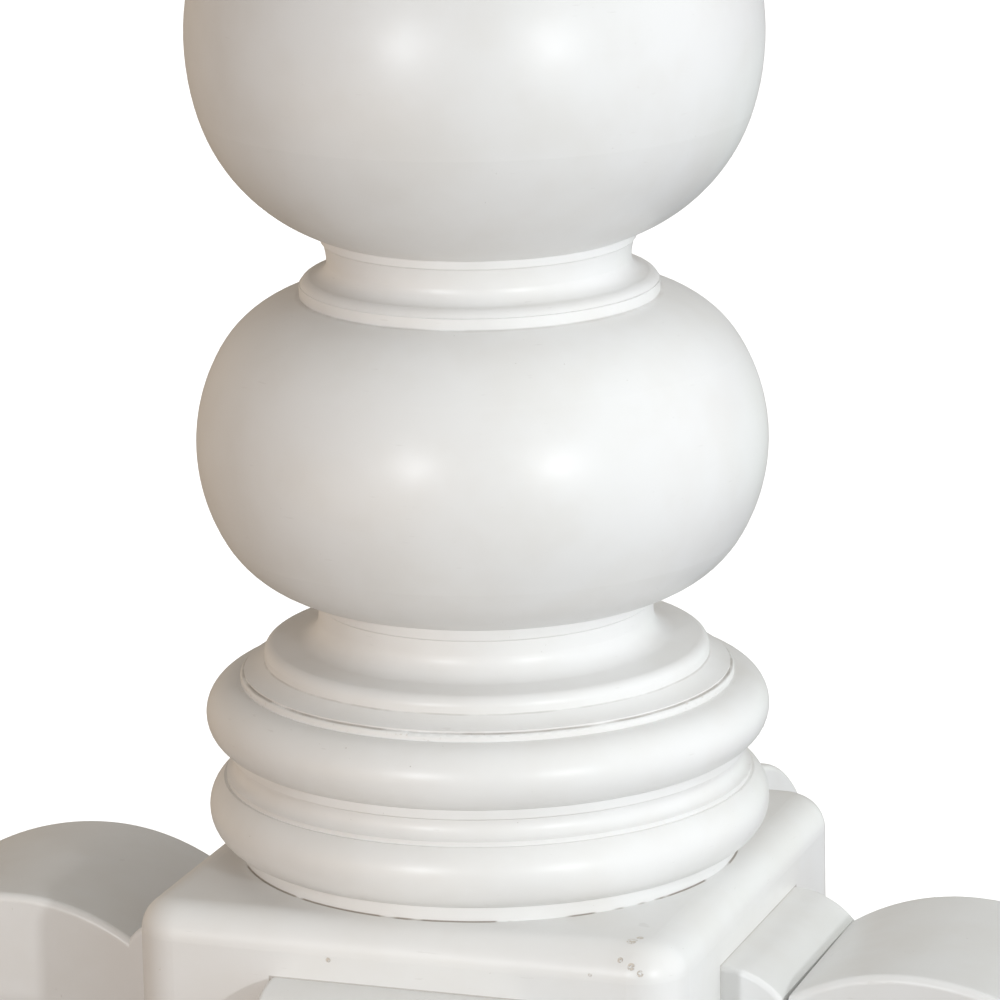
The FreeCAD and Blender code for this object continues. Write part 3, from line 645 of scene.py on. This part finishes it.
hanger = joined("hanger_bolt", [bolt_core, bolt_shank, metric, coarse])
copies = []
for quarter in range(4):
    for side in (-BOLT_SPREAD, BOLT_SPREAD):
        lying = Matrix.Translation((bolt_start, side, bolt_z)) @ Matrix.Rotation(math.pi / 2, 4, "Y")
        copies.append(placed_copy(hanger, Matrix.Rotation(quarter * math.pi / 2, 4, "Z") @ lying))
removed(hanger)
hanger_bolts = joined("hanger_bolts", copies)
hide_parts("leg_bolts")
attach(hanger_bolts, "pedestal")

# ---- board screws ----------------------------------------------------------------------
# Countersunk wood screws with a cross recess, driven down through the board into the top
# collar.
SCREW_RADIUS = 0.0025
SCREW_HEAD_RADIUS = 0.0047
SCREW_HEAD_DEPTH = 0.0026
SCREW_PITCH = 0.0025
SCREW_RIDGE_DEPTH = 0.0008
SCREW_CORE_RADIUS = SCREW_RADIUS - 0.0006
SCREW_THREAD_START = 0.001
SCREW_THREAD_END = 0.031
SCREW_COUNT = 6
SCREW_CIRCLE = 0.080
RECESS_LENGTH = 0.0052
RECESS_WIDTH = 0.0011
RECESS_DEPTH = 0.0020

screw_low, screw_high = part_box("board_screws")
screw_length = screw_high.z - screw_low.z
screw_core = rod("screw_core", SCREW_CORE_RADIUS, screw_length - 0.001, ROD_CHAMFER)
bpy.ops.object.select_all(action="DESELECT")
bpy.ops.mesh.primitive_cone_add(vertices=48, radius1=SCREW_CORE_RADIUS,
                                radius2=SCREW_HEAD_RADIUS, depth=SCREW_HEAD_DEPTH,
                                location=(0, 0, screw_length - SCREW_HEAD_DEPTH / 2))
screw_head = bpy.context.active_object
bpy.ops.object.transform_apply(location=True, rotation=True, scale=True)
for turn in (0, math.pi / 2):
    bpy.ops.mesh.primitive_cube_add(size=1, location=(0, 0, screw_length), rotation=(0, 0, turn),
                                    scale=(RECESS_LENGTH, RECESS_WIDTH, 2 * RECESS_DEPTH))
    cutter = bpy.context.active_object
    bpy.context.view_layer.objects.active = screw_head
    cut = screw_head.modifiers.new("recess", "BOOLEAN")
    cut.operation = "DIFFERENCE"
    cut.solver = "EXACT"
    cut.object = cutter
    bpy.ops.object.modifier_apply(modifier="recess")
    removed(cutter)
screw_thread = thread(SCREW_RADIUS, SCREW_PITCH, SCREW_THREAD_START, SCREW_THREAD_END,
                      SCREW_RIDGE_DEPTH)
board_screw = joined("board_screw", [screw_head, screw_core, screw_thread])
copies = []
for turn in range(SCREW_COUNT):
    angle = turn * math.pi / 3
    spot = (SCREW_CIRCLE * math.cos(angle), SCREW_CIRCLE * math.sin(angle), screw_low.z)
    copies.append(placed_copy(board_screw, Matrix.Translation(spot)
                              @ Matrix.Rotation(0.4 + 1.7 * turn, 4, "Z")))
removed(board_screw)
board_screws = joined("countersunk_screws", copies)
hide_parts("board_screws")
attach(board_screws, "pedestal")

# ---- glide studs -----------------------------------------------------------------------
# M8 stud of a levelling glide: a round head held in the foot, a collar for a 13 mm
# spanner and the thread that turns in the leg's insert.
M8_RADIUS = 0.004
M8_PITCH = 0.00125
STUD_HEAD_RADIUS = 0.007
STUD_HEAD_HEIGHT = 0.0016
COLLAR_FLATS = 0.013
COLLAR_OVER_STUD = 0.0042
COLLAR_HEIGHT = 0.004
COLLAR_CHAMFER = 0.0004
STUD_CLEARANCE = 0.00003
STUD_RIDGE_DEPTH = 0.0010

stud_low, stud_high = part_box("glide_stud_right")
stud_length = stud_high.z - stud_low.z
stud_core = rod("stud_core", M8_RADIUS - 0.0008, stud_length, 0.0005)
stud_head = rod("stud_head", STUD_HEAD_RADIUS, STUD_HEAD_HEIGHT, 0.0003)
bpy.ops.object.select_all(action="DESELECT")
bpy.ops.mesh.primitive_cylinder_add(vertices=6, radius=COLLAR_FLATS / math.sqrt(3),
                                    depth=COLLAR_HEIGHT,
                                    location=(0, 0, COLLAR_OVER_STUD + COLLAR_HEIGHT / 2))
stud_collar = bpy.context.active_object
bpy.ops.object.transform_apply(location=True, rotation=True, scale=True)
bpy.ops.object.mode_set(mode="EDIT")
bpy.ops.mesh.select_all(action="SELECT")
bpy.ops.mesh.bevel(offset=COLLAR_CHAMFER, segments=2, affect="EDGES")
bpy.ops.object.mode_set(mode="OBJECT")
stud_thread = thread(M8_RADIUS - STUD_CLEARANCE, M8_PITCH,
                     COLLAR_OVER_STUD + COLLAR_HEIGHT + THREAD_START,
                     stud_length - 0.0004, STUD_RIDGE_DEPTH)
stud = joined("stud", [stud_core, stud_head, stud_collar, stud_thread])
for side in SIDES:
    low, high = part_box("glide_stud_" + side)
    middle = (low + high) / 2
    piece = placed_copy(stud, Matrix.Translation((middle.x, middle.y, low.z)))
    piece.name = "threaded_stud_" + side
    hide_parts("glide_stud_" + side)
    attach(piece, "glide_screw_" + side)
removed(stud)

# ---- glide feet ------------------------------------------------------------------------
# Moulded dark plastic feet with a finely grained surface and dust on their rims.
PLASTIC_DARK = (0.030, 0.030, 0.032)
PLASTIC_DUST = (0.11, 0.105, 0.10)

glide_plastic, place, shader = new_material("glide_plastic")
dust = place.noise(130.0, 4.0, 0.6).ramp(0.5, 0.75) * 0.6
finish_material(shader, dust.blend(PLASTIC_DARK, PLASTIC_DUST), dust * 0.15 + 0.5,
                place.noise(2200.0, 2.0), 0.00004)
give(glide_plastic, *["glide_base_" + side for side in SIDES])
